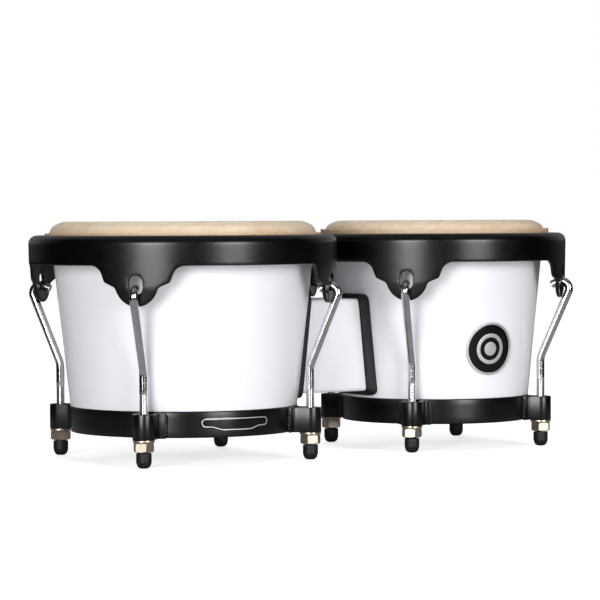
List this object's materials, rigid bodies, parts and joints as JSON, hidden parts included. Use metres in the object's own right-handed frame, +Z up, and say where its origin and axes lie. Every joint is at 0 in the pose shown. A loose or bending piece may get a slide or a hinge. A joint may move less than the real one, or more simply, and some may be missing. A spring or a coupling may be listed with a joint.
{
  "type": "bongo drums",
  "caption": "Pair of tapered hand drums, one larger than the other, with hide heads, slotted-ear rims, hooked tuning rods and a centre block.",
  "frame": {"origin": "centre of the whole object's footprint, at the bottom of the rubber feet", "axes": "+X along the pair from the large drum to the small drum, +Y towards the back, +Z up"},
  "size_m": [0.422, 0.22, 0.1683],
  "materials": {
    "white_abs": "gloss white moulded plastic",
    "black_steel": "satin black powder coat",
    "chrome_rod": "bright chrome plate",
    "nickel_fastener": "warm nickel plate",
    "zinc_bolt": "zinc plated steel",
    "bare_steel": "plain drawn steel",
    "rubber_black": "matte black rubber",
    "black_abs": "matte black moulded plastic",
    "hide": "natural translucent animal hide",
    "badge_face": "gloss black lacquer",
    "badge_metal": "satin pressed aluminium"
  },
  "bodies": {
    "frame": {"hembra_shell": "white_abs", "hembra_head_skin": "hide", "hembra_bottom_ring": "black_steel", "hembra_lug_brackets": "black_steel", "hembra_lug_washers": "nickel_fastener", "hembra_block_pad": "rubber_black", "hembra_bolt_plate": "black_abs", "macho_shell": "white_abs", "macho_head_skin": "hide", "macho_bottom_ring": "black_steel", "macho_lug_brackets": "black_steel", "macho_lug_washers": "nickel_fastener", "macho_block_pad": "rubber_black", "macho_bolt_plate": "black_abs", "centre_block": "white_abs", "block_bolts": "zinc_bolt", "block_nuts": "zinc_bolt", "macho_badge": "badge_face", "macho_badge_rim": "badge_metal", "hembra_ring_plate": "badge_face"},
    "hembra_rim_set": {"hembra_rim": "black_steel", "hembra_flesh_hoop": "bare_steel", "hembra_skin_roll": "hide", "hembra_hook_rods": "chrome_rod", "hembra_foot_caps": "rubber_black"},
    "hembra_nut_1_body": {"hembra_nut_1": "nickel_fastener"},
    "hembra_nut_2_body": {"hembra_nut_2": "nickel_fastener"},
    "hembra_nut_3_body": {"hembra_nut_3": "nickel_fastener"},
    "hembra_nut_4_body": {"hembra_nut_4": "nickel_fastener"},
    "macho_rim_set": {"macho_rim": "black_steel", "macho_flesh_hoop": "bare_steel", "macho_skin_roll": "hide", "macho_hook_rods": "chrome_rod", "macho_foot_caps": "rubber_black"},
    "macho_nut_1_body": {"macho_nut_1": "nickel_fastener"},
    "macho_nut_2_body": {"macho_nut_2": "nickel_fastener"},
    "macho_nut_3_body": {"macho_nut_3": "nickel_fastener"},
    "macho_nut_4_body": {"macho_nut_4": "nickel_fastener"}
  },
  "joints": [
    {"name": "hembra_tuning_slide", "type": "slide", "parent": "frame", "child": "hembra_rim_set", "axis": [0, 0, 1], "range_m": [-0.004, 0.0005]},
    {"name": "hembra_nut_1_turn", "type": "hinge", "parent": "frame", "child": "hembra_nut_1_body", "pos_m": [-0.03515, 0.0659, 0.0143], "axis": [0, 0, 1], "range_deg": [-142.5, 1135]},
    {"name": "hembra_nut_2_turn", "type": "hinge", "parent": "frame", "child": "hembra_nut_2_body", "pos_m": [-0.16695, 0.0659, 0.0143], "axis": [0, 0, 1], "range_deg": [-142.5, 1135]},
    {"name": "hembra_nut_3_turn", "type": "hinge", "parent": "frame", "child": "hembra_nut_3_body", "pos_m": [-0.16695, -0.0659, 0.0143], "axis": [0, 0, 1], "range_deg": [-142.5, 1135]},
    {"name": "hembra_nut_4_turn", "type": "hinge", "parent": "frame", "child": "hembra_nut_4_body", "pos_m": [-0.03515, -0.0659, 0.0143], "axis": [0, 0, 1], "range_deg": [-142.5, 1135]},
    {"name": "macho_tuning_slide", "type": "slide", "parent": "frame", "child": "macho_rim_set", "axis": [0, 0, 1], "range_m": [-0.004, 0.0005]},
    {"name": "macho_nut_1_turn", "type": "hinge", "parent": "frame", "child": "macho_nut_1_body", "pos_m": [0.16947, 0.05692, 0.0143], "axis": [0, 0, 1], "range_deg": [-142.5, 1135]},
    {"name": "macho_nut_2_turn", "type": "hinge", "parent": "frame", "child": "macho_nut_2_body", "pos_m": [0.05563, 0.05692, 0.0143], "axis": [0, 0, 1], "range_deg": [-142.5, 1135]},
    {"name": "macho_nut_3_turn", "type": "hinge", "parent": "frame", "child": "macho_nut_3_body", "pos_m": [0.05563, -0.05692, 0.0143], "axis": [0, 0, 1], "range_deg": [-142.5, 1135]},
    {"name": "macho_nut_4_turn", "type": "hinge", "parent": "frame", "child": "macho_nut_4_body", "pos_m": [0.16947, -0.05692, 0.0143], "axis": [0, 0, 1], "range_deg": [-142.5, 1135]}
  ],
  "couplings": [
    {"joint": "hembra_nut_1_turn", "follows": "hembra_tuning_slide", "rad_per_m": -4947.4},
    {"joint": "hembra_nut_2_turn", "follows": "hembra_tuning_slide", "rad_per_m": -4947.4},
    {"joint": "hembra_nut_3_turn", "follows": "hembra_tuning_slide", "rad_per_m": -4947.4},
    {"joint": "hembra_nut_4_turn", "follows": "hembra_tuning_slide", "rad_per_m": -4947.4},
    {"joint": "macho_nut_1_turn", "follows": "macho_tuning_slide", "rad_per_m": -4947.4},
    {"joint": "macho_nut_2_turn", "follows": "macho_tuning_slide", "rad_per_m": -4947.4},
    {"joint": "macho_nut_3_turn", "follows": "macho_tuning_slide", "rad_per_m": -4947.4},
    {"joint": "macho_nut_4_turn", "follows": "macho_tuning_slide", "rad_per_m": -4947.4}
  ]
}
